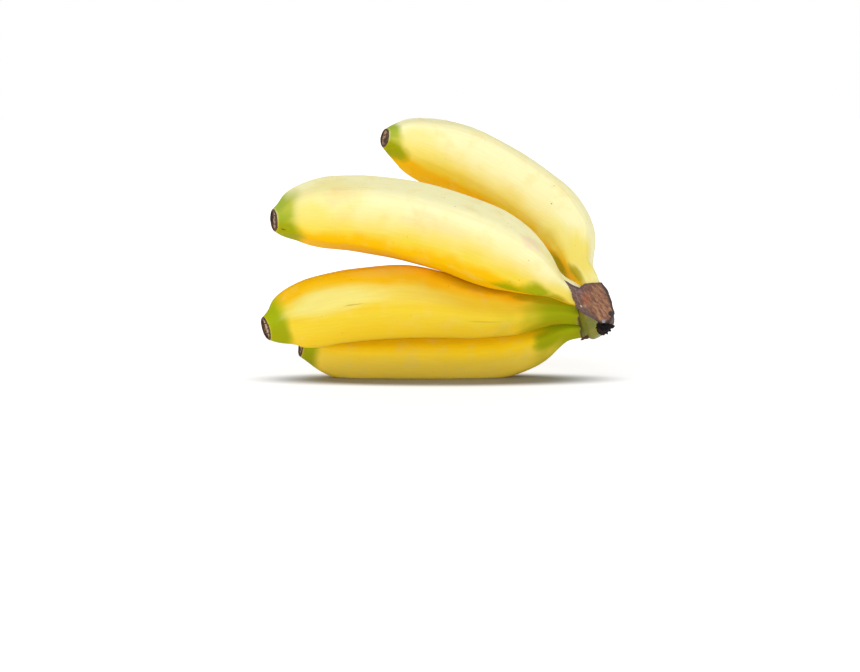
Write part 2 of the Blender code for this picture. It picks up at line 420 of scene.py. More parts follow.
def peel_mark_group():
    """One bruise, scratch or patch at a place on the peel, with a ragged edge."""
    tree, given, made = group(
        "peel_mark",
        {"Peel": "Vector", "Centre": "Vector", "Size": "Vector", "Ragged": "Float"},
        {"Mask": "Float"},
    )
    away = add(tree, "VectorMath", given["Peel"], given["Centre"], operation="SUBTRACT")
    share = add(tree, "VectorMath", away, given["Size"], operation="DIVIDE")
    away = named(add(tree, "VectorMath", share, operation="LENGTH"), "Value")
    ragged = times(tree, plus(tree, speckle(tree, share, (1, 1, 1), 1.7), -0.5), given["Ragged"])
    tree.links.new(between(tree, plus(tree, away, ragged), 0.35, 1.0, 1.0, 0.0), made["Mask"])
    return tree


def peel_grain_group():
    """The peel's fine lengthwise fibres, pores and dark specks, as a shade, a height and a mask."""
    tree, given, made = group(
        "peel_grain", {"Peel": "Vector"}, {"Shade": "Float", "Height": "Float", "Specks": "Float"}
    )
    fibres = speckle(tree, given["Peel"], (1, 1, 0.06), 1.6, 4, 0.6)
    pores = speckle(tree, given["Peel"], (1, 1, 0.7), 3.2, 2)
    tree.links.new(between(tree, fibres, 0.3, 0.7, 0.975, 1.02), made["Shade"])
    height = plus(tree, times(tree, fibres, 0.6), times(tree, pores, 0.4))
    tree.links.new(height, made["Height"])
    cells = tree.nodes.new("ShaderNodeTexVoronoi")
    cells.inputs["Scale"].default_value = 0.33
    tree.links.new(given["Peel"], cells.inputs["Vector"])
    few = between(tree, speckle(tree, given["Peel"], (1, 1, 1), 0.11, 1), 0.5, 0.62)
    dot = between(tree, cells.outputs["Distance"], 0.03, 0.09, 1.0, 0.0)
    tree.links.new(times(tree, dot, few), made["Specks"])
    return tree


PEEL_RADIUS = 15.0
YELLOW = (0.87, 0.65, 0.05, 1)
# The pale tone is painted light on the lit upper sides; the gold tone is painted shade on the undersides,
# and the amber tone painted shade where another fruit shades the peel.
PAINTED_LIGHT_PALE = (0.97, 0.915, 0.52, 1)
PAINTED_SHADE_GOLD = (0.90, 0.51, 0.001, 1)
PAINTED_SHADE_AMBER = (0.90, 0.49, 0.001, 1)
BANANA = (0.87, 0.63, 0.04, 1)
# The two greens are one unripe green, painted lighter on the upper side and darker underneath as painted
# light and shade.
PAINTED_LIT_GREEN = (0.33, 0.43, 0.003, 1)
PAINTED_SHADE_GREEN = (0.31, 0.35, 0.001, 1)
OLIVE = (0.44, 0.37, 0.02, 1)
RIDGE_GOLD = (0.80, 0.42, 0.02, 1)
BLOTCH = (0.88, 0.66, 0.16, 1)
SPECK_BROWN = (0.10, 0.045, 0.015, 1)
# Some marks are painted light: the pale tone is a painted highlight, the dark olive a painted shade on necks
# under other fruit and on their undersides, and the dark ochre a painted shade in the crease under the front
# fruit.
MARK_COLOURS = {
    "bruise": (0.80, 0.60, 0.30, 1),
    "pink": (0.88, 0.60, 0.42, 1),
    "scratch": (0.42, 0.27, 0.06, 1),
    "brown": (0.12, 0.05, 0.015, 1),
    "green": (0.36, 0.38, 0.002, 1),
    "painted_shade_olive": (0.40, 0.32, 0.002, 1),
    "yellow": (0.90, 0.74, 0.12, 1),
    "pale": (0.88, 0.80, 0.25, 1),
    "peach": (0.90, 0.56, 0.14, 1),
    "painted_crease_shade": (0.50, 0.28, 0.001, 1),
}
SOFT_MARKS = ("green", "painted_shade_olive", "yellow", "pale", "painted_crease_shade")
SOFT_EDGE = 0.5
RAGGED_EDGE = 1.1


def facing(degrees):
    """A direction around a fruit."""
    return (math.cos(math.radians(degrees)), math.sin(math.radians(degrees)), 0.0)


def on_peel(degrees, distance):
    """A place on the peel: the angle around the fruit, and the distance from its tip."""
    x, y, _ = facing(degrees)
    return (PEEL_RADIUS * x, PEEL_RADIUS * y, distance)


def peel_material(name, looks):
    """The peel of one fruit: its sides painted lit and shaded, its blotches and ridges, its green ends, and
    its marks, among them painted highlights and painted shade.
    """
    made, tree, shader = new_finish("peel " + name)
    peel = stored(tree, "peel", "Vector")
    ridge = stored(tree, "ridge")
    neck = stored(tree, "neck")
    place = object_place(tree)
    grain = use(tree, peel_grain, Peel=peel)
    colour = looks["tone"]
    # Painted light and shade: each side strip paints the lit upper side paler, and the underside or the part
    # that another fruit shades deeper orange.
    for tone, degrees, low, high, share in looks["sides"]:
        strip = {"Towards": facing(degrees), "From": low, "To": high}
        mask = use(tree, peel_side, Peel=peel, Place=place, **strip)["Mask"]
        colour = blend(tree, times(tree, mask, share), colour, tone)
    blotch = speckle(tree, place, (1, 1, 1), 130.0, 4, 0.6)
    colour = blend(tree, between(tree, blotch, 0.5, 0.72, 0.0, 0.28), colour, BLOTCH)
    gold = times(tree, between(tree, ridge, 0.88, 1.0), 0.12)
    colour = blend(tree, gold, colour, RIDGE_GOLD)
    reach = {"Tip_Reach": looks["tip_green"], "Neck_Reach": looks["neck_green"]}
    green = use(tree, peel_green, Peel=peel, Place=place, Neck=neck, **reach)
    # The unripe green is painted lighter on the upper side and darker below: painted light and shade.
    upper = use(tree, peel_side, Peel=peel, Place=place, Towards=facing(80), From=-0.3, To=0.55)["Mask"]
    unripe = blend(tree, upper, PAINTED_SHADE_GREEN, PAINTED_LIT_GREEN)
    colour = blend(tree, times(tree, green["Mask"], 0.92), colour, unripe)
    colour = blend(tree, between(tree, neck, 1.5, 6.0, looks["olive"], 0.0), colour, OLIVE)
    # Some marks are painted light: the pale ones are painted highlights, the dark olive and ochre ones
    # painted shade.
    for kind, degrees, distance, size, share in looks["marks"]:
        spot = {"Centre": on_peel(degrees, distance), "Size": size}
        ragged = SOFT_EDGE if kind in SOFT_MARKS else RAGGED_EDGE
        mask = use(tree, peel_mark, Peel=peel, Ragged=ragged, **spot)["Mask"]
        colour = blend(tree, times(tree, mask, share), colour, MARK_COLOURS[kind])
    colour = blend(tree, times(tree, grain["Specks"], 0.7), colour, SPECK_BROWN)
    shaded = add(tree, "VectorMath", colour, operation="SCALE")
    tree.links.new(grain["Shade"], shaded.node.inputs["Scale"])
    tree.links.new(shaded, shader.inputs["Base Color"])
    rough = between(tree, grain["Height"], 0.3, 0.7, 0.52, 0.64)
    tree.links.new(rough, shader.inputs["Roughness"])
    relief(tree, shader, grain["Height"], 0.35, 0.06)
    shader.inputs["Subsurface Weight"].default_value = 0.12
    shader.inputs["Subsurface Radius"].default_value = (1.0, 0.55, 0.12)
    shader.inputs["Subsurface Scale"].default_value = 2.5 * MM
    shader.inputs["Specular IOR Level"].default_value = 0.06
    shader.inputs["IOR"].default_value = 1.35
    return made


# What each fruit's peel shows. Sides: tone, the angle it faces, where its edge starts and ends as the cosine
# from that angle, and its share; they are painted light and shade, pale above, gold below and orange where
# another fruit shades the peel. Marks: kind, angle, distance from the tip, size round and along, and share.
PEEL_LOOKS = {
    "top": {
        "tone": YELLOW,
        "sides": [(PAINTED_LIGHT_PALE, 76, -0.4, 0.75, 1.0), (PAINTED_SHADE_GOLD, -95, 0.28, 0.62, 1.0)],
        "tip_green": 6.0,
        "neck_green": 0.1,
        "olive": 0.0,
        "marks": [
            ("brown", 20, 78, (0.5, 0.5, 0.4), 0.8),
            ("yellow", 10, 12, (12.0, 12.0, 14.0), 0.5),
            ("green", -40, 4.5, (11.5, 11.5, 7.5), 0.95),
            ("yellow", 30, 107, (17.0, 17.0, 17.0), 0.85),
            ("yellow", -36, 92, (8.0, 8.0, 14.0), 0.85),
            ("pale", -12, 91, (8.0, 8.0, 14.0), 0.6),
            ("painted_shade_olive", -72, 103, (8.0, 8.0, 9.0), 0.95),
            ("painted_shade_olive", -20, 114, (6.5, 6.5, 8.0), 0.8),
        ],
    },
    "front": {
        "tone": YELLOW,
        "sides": [(PAINTED_LIGHT_PALE, 80, -0.36, 0.76, 1.0), (PAINTED_SHADE_GOLD, -92, 0.34, 0.62, 1.0)],
        "tip_green": 10.5,
        "neck_green": 0.1,
        "olive": 0.15,
        "marks": [
            ("pink", 35, 27, (6.0, 6.0, 8.0), 0.35),
            ("pink", 50, 100, (6.0, 6.0, 6.0), 0.4),
            ("brown", -36, 2.4, (1.0, 1.0, 1.1), 0.95),
            ("bruise", 10, 66, (5.0, 5.0, 14.0), 0.25),
            ("yellow", 40, 20, (13.0, 13.0, 22.0), 0.35),
            ("yellow", 60, 114, (10.0, 10.0, 14.0), 0.4),
            ("yellow", -15, 124, (14.0, 14.0, 18.0), 0.7),
            ("yellow", 0, 15, (10.0, 10.0, 13.0), 0.6),
            ("green", -50, 101, (6.0, 6.0, 9.0), 0.9),
            ("green", -32, 111, (7.0, 7.0, 9.0), 0.95),
            ("painted_shade_olive", -40, 121, (6.0, 6.0, 7.0), 0.8),
        ],
    },
    "lower": {
        "tone": BANANA,
        "sides": [(PAINTED_SHADE_AMBER, 85, 0.48, 0.88, 0.95), (PAINTED_SHADE_GOLD, -90, 0.3, 0.9, 0.4)],
        "tip_green": 9.0,
        "neck_green": 30.0,
        "olive": 0.8,
        "marks": [
            ("pale", 20, 29, (8.0, 8.0, 27.0), 0.8),
            ("pale", 18, 58, (6.0, 6.0, 24.0), 0.25),
            ("peach", 62, 50, (5.0, 5.0, 16.0), 0.3),
            ("painted_crease_shade", 64, 86, (6.0, 6.0, 26.0), 0.85),
            ("painted_shade_olive", 52, 106, (5.0, 5.0, 10.0), 0.8),
            ("painted_shade_olive", 40, 115, (4.0, 4.0, 9.0), 0.7),
            ("painted_shade_olive", -66, 113, (8.0, 8.0, 14.0), 0.75),
            ("scratch", 5, 37, (0.4, 0.4, 4.5), 0.5),
            ("scratch", -18, 88, (0.7, 0.7, 8.0), 0.35),
        ],
    },
    "under": {
        # Painted light and shade: a tone lighter than the other peels to make up for the shade it lies in,
        # and darker orange above where the lower fruit shades it.
        "tone": (0.99, 0.70, 0.07, 1),
        "sides": [((0.98, 0.64, 0.001, 1), 80, -0.2, 0.6, 0.95)],
        "tip_green": 8.0,
        "neck_green": 23.0,
        "olive": 0.8,
        "marks": [("green", 0, 102, (10.0, 10.0, 10.0), 0.95)],
    },
}

peel_side = peel_side_group()
peel_green = peel_green_group()
peel_mark = peel_mark_group()
peel_grain = peel_grain_group()
for turn, (fruit_name, fruit) in enumerate(FRUITS.items()):
    fruit["walk"] = walk_line(fruit["line"])
    fruit["seed"] = Vector((11.0 * turn, 5.0, 3.0))
    steps = fruit["walk"][0]
    wander = [noise.noise(Vector((d / RIDGE_BEND, 0.5, 0.5)) + fruit["seed"]) for d in steps]
    fruit["stray"] = np.radians([RIDGE_WANDER * share for share in wander])
    skin = fruit_mesh("peel_" + fruit_name, fruit, PEEL_START, steps[-1], PEEL_SEGMENTS, PEEL_RINGS)
    finish = peel_material(fruit_name, PEEL_LOOKS[fruit_name])
    piece("peel_" + fruit_name, skin, finish, "peel", "finger_" + fruit_name)

# The blossom ends
# The dried scar that the flower left on each tip: a thin corky ring, flush with the peel, about a sunken tan
# face with dark streaks and a few brittle threads of the old flower. It grew as part of the fruit.

END_SEGMENTS = 72
# The ring's section from inside the fruit, over the rim and down to the middle of the scar: the distance
# from the tip, how far in from the peel's outline, and the share of that outline that is left.
END_SECTION = [
    (3.0, 1.2, 1.0),
    (1.4, 0.4, 1.0),
    (0.8, 0.15, 1.0),
    (0.55, 0.02, 1.0),
    (0.35, 0.02, 1.0),
    (0.15, 0.12, 1.0),
    (0.02, 0.3, 1.0),
    (0.08, 0.5, 1.0),
    (0.35, 0.62, 1.0),
    (0.8, 0.7, 1.0),
    (1.1, 0.75, 0.9),
    (1.0, 0.8, 0.75),
    (0.9, 0.8, 0.55),
    (0.8, 0.8, 0.38),
    (1.0, 0.8, 0.2),
    (1.1, 0.8, 0.08),
]
WAVE = 0.15  # how far the rim rises and falls round the scar
CRUMB = 0.08  # how rough its cork is
THREADS = 5  # of the old flower, on each scar
THREAD_LENGTH = 1.5
THREAD_WIDTHS = (0.33, 0.08)  # the radius at the root and at the end
CORK = ((0.035, 0.014, 0.009, 1), (0.17, 0.075, 0.04, 1))
SCAR = ((0.07, 0.035, 0.026, 1), (0.62, 0.41, 0.26, 1))


def end_mesh(name, fruit):
    """The corky ring and its scar as one closed body, with how far in each point lies."""
    mesh, around, place = bar(name, END_SEGMENTS, len(END_SECTION))
    ring = np.rint(place * (len(END_SECTION) - 1)).astype(int)
    distance, inset, share = np.array(END_SECTION)[ring].T
    seed = fruit["seed"]
    wave = np.array([noise.noise(Vector((3 * math.cos(a), 3 * math.sin(a), 0.0)) + seed) for a in around])
    cork = [Vector((9 * math.cos(a), 9 * math.sin(a), 0.35 * r)) for a, r in zip(around, ring)]
    crumbs = np.array([noise.noise(point + seed) for point in cork])
    distance = distance + WAVE * wave * (ring > 2) * (ring < 9) + CRUMB * crumbs
    reached = np.maximum(distance, 0.0)
    outline, _, side = on_fruit(fruit, around, reached)
    steps, rows, to_tip = fruit["walk"]
    middle = along_columns(reached, steps, rows)[:, :3] - np.array([0.0, MIDDLE_Y, 0.0])
    reach = np.linalg.norm(outline - middle, axis=1) - inset
    points = middle + side * ((reach + 0.1 * crumbs) * share)[:, None]
    mesh.vertices.foreach_set("co", (points * MM).ravel())
    put_values(mesh, "inward", np.clip((ring - 5) / 6, 0, 1).astype(float))
    whole = bmesh.new()
    whole.from_mesh(mesh)
    inward = whole.verts.layers.float["inward"]
    tip = Vector(to_tip[0])
    for number in range(THREADS):
        turn = math.tau * (number + 0.4 * noise.noise(seed + Vector((number, 0.3, 0.1)))) / THREADS
        root = 0.45 + 0.3 * noise.noise(seed + Vector((number, 7.0, 0.1)))
        outline, _, side = on_fruit(fruit, np.array([turn]), np.array([0.0]))
        centre = Vector(rows[0, :3]) - Vector((0, MIDDLE_Y, 0))
        base = centre.lerp(Vector(outline[0]), root) - tip * 1.2
        lean = (tip + Vector(side[0]) * noise.noise(seed + Vector((number, 2.0, 0.9)))).normalized()
        low, high = (width * MM for width in THREAD_WIDTHS)
        thread = bmesh.ops.create_cone(
            whole, cap_ends=True, segments=6, radius1=low, radius2=high, depth=THREAD_LENGTH * MM
        )
        aim = lean.to_track_quat("Z", "Y").to_matrix().to_4x4()
        place = Matrix.Translation((base + lean * 0.6) * MM) @ aim
        bmesh.ops.transform(whole, matrix=place, verts=thread["verts"])
        for vert in thread["verts"]:
            vert[inward] = 0.35
    bmesh.ops.recalc_face_normals(whole, faces=whole.faces)
    whole.to_mesh(mesh)
    whole.free()
    mesh.shade_smooth()
    return mesh


def blossom_material():
    """Dry cork: a dark brown ring round a tan scar with dark streaks."""
    made, tree, shader = new_finish("dried blossom end")
    inward = stored(tree, "inward")
    place = object_place(tree)
    crumbs = speckle(tree, place, (1, 1, 1), 900.0, 4)
    streak = speckle(tree, place, (1, 1, 0.3), 330.0, 3)
    cork = blend(tree, between(tree, crumbs, 0.35, 0.7), *CORK)
    scar = blend(tree, between(tree, streak, 0.38, 0.6), *SCAR)
    colour = blend(tree, between(tree, inward, 0.55, 0.85), cork, scar)
    tree.links.new(colour, shader.inputs["Base Color"])
    tree.links.new(between(tree, crumbs, 0.3, 0.7, 0.65, 0.9), shader.inputs["Roughness"])
    relief(tree, shader, crumbs, 0.8, 0.15)
    return made


cork_finish = blossom_material()
for fruit_name, fruit in FRUITS.items():
    name = "blossom_scar_" + fruit_name
    piece(name, end_mesh(name, fruit), cork_finish, "blossom_end", "blossom_end_" + fruit_name)

# The crown
# The pad that the four necks grow from, once part of the stalk, its side still olive green and its flesh
# drawn out along three of them. Only its colour and a fine dark line part it from the fruits.

CROWN_MIDDLE = (63.0, -1.3, 27.0)
CROWN_SIZE = (13.5, 19.2, 22.6)
CROWN_LEAN = -11.0  # degrees
CROWN_SQUARENESS = 3.0  # 2 is an ellipsoid, more is nearer to a box
CUT_FACE = ((63.5, -9.6, 31.0), (0.42, -0.85, 0.32))  # a point on the dried cut and the way it faces
SIDE_FACE = ((61.5, -9.8, 20.0), (-0.15, -0.9, -0.42))
TORN_FACE = ((67.2, -6.0, 20.2), (0.62, -0.25, -0.74))  # where the stump stands out
FACE_EDGE = 0.6  # how softly the block turns into these flats
PAD_VOXEL = 0.26
SLEEVE = 6.0  # how far up each neck the pad's flesh tapers out
DRY_EDGE = ((61.6, 0.0, 27.1), (0.681, 0.0, 0.732))  # a point on the dried cut's lower edge, and its side
SLEEVE_DEPTH = (-0.6, 0.6)  # of the drawn-out flesh over the neck's skin, at its far end and at the pad
PAD_OLIVE = ((0.16, 0.165, 0.010, 1), (0.24, 0.22, 0.025, 1))
NECK_STRIP = ((0.36, 0.32, 0.010, 1), (0.44, 0.38, 0.014, 1))
NECK_GREEN = ((0.32, 0.35, 0.003, 1), (0.38, 0.40, 0.005, 1))
SEAM_BROWN = (0.09, 0.065, 0.012, 1)
PAD_DRIED = (0.10, 0.07, 0.06, 1)


def at(x, y, z):
    """A point of the hand in millimetres from the origin."""
    return Vector((x, y - MIDDLE_Y, z))


def melted(name, shape, voxel):
    """One closed skin round all the overlapping bodies of a bmesh in millimetres."""
    mesh = bpy.data.meshes.new(name)
    shape.to_mesh(mesh)
    shape.free()
    lumps = bpy.data.objects.new(name, mesh)
    bpy.context.scene.collection.objects.link(lumps)
    step = lumps.modifiers.new("melt", "REMESH")
    step.mode = "VOXEL"
    step.voxel_size = voxel
    bpy.context.view_layer.update()
    made = bmesh.new()
    made.from_mesh(lumps.evaluated_get(bpy.context.evaluated_depsgraph_get()).data)
    bpy.data.objects.remove(lumps)
    bpy.data.meshes.remove(mesh)
    return made


def crown_block(shape):
    """A block with round edges and three softly flattened faces."""
    ball = bmesh.ops.create_icosphere(shape, subdivisions=5, radius=1)["verts"]
    for vert in ball:
        vert.co /= sum(abs(value) ** CROWN_SQUARENESS for value in vert.co) ** (1 / CROWN_SQUARENESS)
    turn = Matrix.Rotation(math.radians(CROWN_LEAN), 4, "Y")
    half = Matrix.Diagonal((*(value / 2 for value in CROWN_SIZE), 1))
    bmesh.ops.transform(shape, matrix=Matrix.Translation(at(*CROWN_MIDDLE)) @ turn @ half, verts=ball)
    for point, outward in (CUT_FACE, SIDE_FACE, TORN_FACE):
        way = Vector(outward).normalized()
        for vert in ball:
            past = (vert.co - at(*point)).dot(way)
            kept = -FACE_EDGE * math.log1p(math.exp(-past / FACE_EDGE))
            vert.co += way * (kept - past)


def neck_sleeve(shape, fruit):
    """The pad's flesh round the end of one neck, thinning out to nothing along it."""
    mesh, around, share = bar("sleeve", 48, 24)
    distances = fruit["walk"][0][-1] - SLEEVE * (1 - share)
    low, high = SLEEVE_DEPTH
    points, _, _ = on_fruit(fruit, around, distances, low + (high - low) * share)
    mesh.vertices.foreach_set("co", points.ravel())
    shape.from_mesh(mesh)
    bpy.data.meshes.remove(mesh)


def tapered(shape, start, end, near, far, segments):
    """A closed round bar between two points with its own radius at each end."""
    way = end - start
    sizes = {"radius1": near, "radius2": far, "depth": way.length}
    made = bmesh.ops.create_cone(shape, cap_ends=True, segments=segments, **sizes)
    aim = way.to_track_quat("Z", "Y").to_matrix().to_4x4()
    bmesh.ops.transform(shape, matrix=Matrix.Translation((start + end) / 2) @ aim, verts=made["verts"])


def smoothed(shape, rounds):
    """Eases the steps that the melting leaves."""
    every_way = {"use_axis_x": True, "use_axis_y": True, "use_axis_z": True}
    for _ in range(rounds):
        bmesh.ops.smooth_vert(shape, verts=shape.verts, factor=0.5, **every_way)


def finished(name, shape):
    """A smooth-shaded mesh in metres from a bmesh in millimetres."""
    bmesh.ops.scale(shape, vec=(MM, MM, MM), verts=shape.verts)
    mesh = bpy.data.meshes.new(name)
    shape.to_mesh(mesh)
    shape.free()
    mesh.shade_smooth()
    return mesh


def past_dry_edge(point):
    """How far a point lies on the dried side of the crown, in millimetres."""
    middle, way = DRY_EDGE
    return (point - at(*middle)).dot(Vector(way))


def pad_mesh():
    """The fleshy pad, with how far each point lies on its dried side."""
    shape = bmesh.new()
    crown_block(shape)
    for name in ("front", "lower", "under"):
        neck_sleeve(shape, FRUITS[name])
    shape = melted("pad", shape, PAD_VOXEL)
    smoothed(shape, 9)
    shape.normal_update()
    dry = shape.verts.layers.float.new("dry")
    for vert in shape.verts:
        vert.co += vert.normal * (0.14 * noise.noise(vert.co / 2.4) + 0.04 * noise.noise(vert.co / 0.7))
        vert[dry] = past_dry_edge(vert.co)
    return finished("crown_pad", shape)


def pad_material():
    """Olive-green flesh, tan at the necks, that darkens and browns towards the dried cut."""
    made, tree, shader = new_finish("crown flesh")
    place = object_place(tree)
    dry = stored(tree, "dry")
    cloud = speckle(tree, place, (1, 1, 1), 180.0, 3)
    grain = speckle(tree, place, (1, 1, 1), 1500.0, 2)
    across, _, height = add(tree, "SeparateXYZ", place).node.outputs
    # The line between the necks and the pad leans: it is drawn where x plus a sixth of the height is level.
    seam = plus(tree, across, times(tree, height, 0.167))
    seam = plus(tree, seam, times(tree, plus(tree, cloud, -0.5), 0.001))
    olive = blend(tree, between(tree, cloud, 0.35, 0.65), *PAD_OLIVE)
    strip = blend(tree, between(tree, cloud, 0.4, 0.6), *NECK_STRIP)
    green = blend(tree, between(tree, cloud, 0.4, 0.6), *NECK_GREEN)
    colour = blend(tree, between(tree, seam, 0.0565, 0.0585), green, strip)
    colour = blend(tree, between(tree, seam, 0.0593, 0.0602), colour, SEAM_BROWN)
    colour = blend(tree, between(tree, seam, 0.0605, 0.0613), colour, olive)
    colour = blend(tree, between(tree, dry, -1.2, 0.0), colour, PAD_DRIED)
    tree.links.new(colour, shader.inputs["Base Color"])
    tree.links.new(between(tree, cloud, 0.3, 0.7, 0.4, 0.55), shader.inputs["Roughness"])
    relief(tree, shader, grain, 0.3, 0.08)
    return made


piece("crown_pad", pad_mesh(), pad_material(), "crown", "crown")

# The dried cut
# The cut across the stalk, dried to a raised cap of brown fibres over the upper and outer side of the pad.
# Its rim has curled up and gone purple grey, with a thin point that lies over the front fruit's neck.

# The cut's outline seen from the front, as x and z from the curled point over the top and round.
CUT_OUTLINE = [
    (48.7, 40.9),
    (53.1, 38.4),
    (56.2, 37.4),
    (58.6, 38.9),
    (65.2, 39.2),
    (67.0, 36.2),
    (68.6, 32.8),
    (69.8, 29.4),
    (70.2, 26.6),
    (68.4, 24.0),
    (66.5, 23.2),
    (64.9, 23.4),
    (60.6, 26.8),
    (56.8, 30.2),
    (54.3, 33.6),
    (52.5, 36.6),
]
CUT_RISE = 0.2  # of the cap above the pad
CUT_TOP = 38.0  # how high the dried skin goes behind the cut
POINT_LIFT = 0.9  # of the curled point, clear of the front neck
POINT_RISE = (56.0, 4.0)  # the x where the point starts to lift, and the length over which it does
CUT_DEPTH = 4.5
POINT_DEPTH = 1.3
POINT_REACH = (52.0, 57.0)  # x between which the cap thickens
CAP_VOXEL = 0.2
CAP_FIBRES = 0.15  # how high the fibres stand
CAP_SWELL = 0.24  # how far the cap bulges
RAG_WIDTH = 0.7  # of the ragged strip along its lower edge
FIBRE_WAY = (0.69, 0.12, -0.71)
FIBRE_STRETCH = 0.88  # how much of a fibre's length is taken out of its pattern
FIBRE_TURN = (0.0, math.radians(-45), 0.0)
CAP_BROWN = (0.18, 0.075, 0.045, 1)
CAP_TAN = (0.43, 0.195, 0.09, 1)
FIBRE_LIGHT = (0.53, 0.28, 0.15, 1)
FIBRE_DARK = (0.06, 0.022, 0.015, 1)
RAW_RED = (0.42, 0.11, 0.04, 1)
RAW_PLACE = (58.7, -12.2, 32.9)
FLAP_GREY = ((0.10, 0.055, 0.06, 1), (0.24, 0.15, 0.15, 1))
FOLD_TAN = (0.50, 0.31, 0.19, 1)
RIM_BROWN = (0.08, 0.04, 0.04, 1)
EDGE_BLACK = (0.035, 0.016, 0.014, 1)
# Small spots on the cap: where, how large, and their colour. A painted shadow of a hollow, a painted glint
# and a small pale fleck.
CAP_SPOTS = [
    ((68.6, -9.0, 26.9), 1.4, (0.022, 0.018, 0.022)),
    ((65.7, -11.4, 24.0), 1.0, (0.28, 0.31, 0.34)),
    ((56.5, -12.9, 30.2), 0.8, (0.75, 0.58, 0.46)),
]


def cut_plate(shape):
    """The cut's face as a plate with the drawn outline, thin at its curled point."""
    point, outward = CUT_FACE
    way = Vector(outward).normalized()
    corners = []
    start, length = POINT_RISE
    for x, z in CUT_OUTLINE:
        y = point[1] - (outward[0] * (x - point[0]) + outward[2] * (z - point[2])) / outward[1]
        lift = POINT_LIFT * min(max((start - x) / length, 0), 1)
        corners.append(shape.verts.new(at(x, y, z) + way * (CUT_RISE + lift)))
    face = bmesh.ops.contextual_create(shape, geom=corners)["faces"][0]
    back = bmesh.ops.extrude_face_region(shape, geom=[face], use_keep_orig=True)["geom"]
    low, high = POINT_REACH
    for vert in (v for v in back if isinstance(v, bmesh.types.BMVert)):
        share = min(max((vert.co.x - low) / (high - low), 0), 1)
        vert.co -= way * (POINT_DEPTH + (CUT_DEPTH - POINT_DEPTH) * share)
    bmesh.ops.recalc_face_normals(shape, faces=shape.faces)


def from_rim(point):
    """How far a point lies from the outline of the cut, seen from the front."""
    place = Vector((point.x, point.z))
    ends = [Vector(corner) for corner in CUT_OUTLINE]
    nearest = [intersect_point_line(place, a, b) for a, b in zip(ends, ends[1:] + ends[:1])]
    sides = zip(nearest, ends, ends[1:] + ends[:1])
    return min((place - a.lerp(b, min(max(share, 0), 1))).length for (_, share), a, b in sides)


def cap_mesh():
    """The dried cap, with how squarely each point faces as the cut does and how far it lies from the rim."""
    block = bmesh.new()
    crown_block(block)
    for vert in block.verts:
        vert.co += (vert.co - at(*CROWN_MIDDLE)).normalized() * CUT_RISE
    middle, way = DRY_EDGE
    for point, kept in ((at(*middle), way), (at(0, 0, CUT_TOP), (0, 0, -1))):
        parts = block.verts[:] + block.edges[:] + block.faces[:]
        cut = bmesh.ops.bisect_plane(block, geom=parts, plane_co=point, plane_no=kept, clear_inner=True)
        rim = [e for e in cut["geom_cut"] if isinstance(e, bmesh.types.BMEdge)]
        bmesh.ops.contextual_create(block, geom=rim)
    bmesh.ops.recalc_face_normals(block, faces=block.faces)
    plate = bmesh.new()
    cut_plate(plate)
    mesh = bpy.data.meshes.new("plate")
    plate.to_mesh(mesh)
    plate.free()
    block.from_mesh(mesh)
    bpy.data.meshes.remove(mesh)
    shape = melted("cap", block, CAP_VOXEL)
    smoothed(shape, 3)
    shape.normal_update()
    facet = shape.verts.layers.float.new("facet")
    rim = shape.verts.layers.float.new("rim")
    cut_way = Vector(CUT_FACE[1]).normalized()
    along = Vector(FIBRE_WAY).normalized()
    for vert in shape.verts:
        vert[facet] = vert.normal.dot(cut_way)
        vert[rim] = from_rim(vert.co)
        across = vert.co - along * vert.co.dot(along) * FIBRE_STRETCH
        fibres = noise.noise(across / 0.9) + 0.5 * noise.noise(across / 0.45 + Vector((5, 5, 5)))
        near = math.exp(-abs(past_dry_edge(vert.co)) / RAG_WIDTH)
        rag = 0.5 * noise.noise(vert.co / 1.3) + 0.25 * noise.noise(vert.co / 0.5)
        swell = CAP_FIBRES * fibres + CAP_SWELL * noise.noise(vert.co / 2.6 + Vector((3, 1, 2)))
        vert.co += vert.normal * swell + Vector(way) * rag * near
    return finished("crown_dried_cut", shape)


def dried_fibres_group():
    """Fine parallel fibres of dried stalk, from 0 to 1."""
    tree, given, made = group(
        "dried_fibres", {"Place": "Vector", "Turn": "Vector", "Scale": "Float"}, {"Fibres": "Float"}
    )
    turned = add(tree, "Mapping", given["Place"])
    tree.links.new(given["Turn"], turned.node.inputs["Rotation"])
    thin = add(tree, "VectorMath", turned, (0.2, 1.0, 1.0), operation="MULTIPLY")
    fine = add(tree, "TexNoise", thin)
    tree.links.new(given["Scale"], fine.node.inputs["Scale"])
    fine.node.inputs["Detail"].default_value = 5.0
    tree.links.new(fine, made["Fibres"])
    return tree


def near_spot(tree, place, spot, full, none):
    """1 within the first distance of a spot and 0 past the second, in millimetres."""
    away = named(add(tree, "VectorMath", place, at(*spot) * MM, operation="DISTANCE"), "Value")
    return between(tree, away, full * MM, none * MM, 1.0, 0.0)


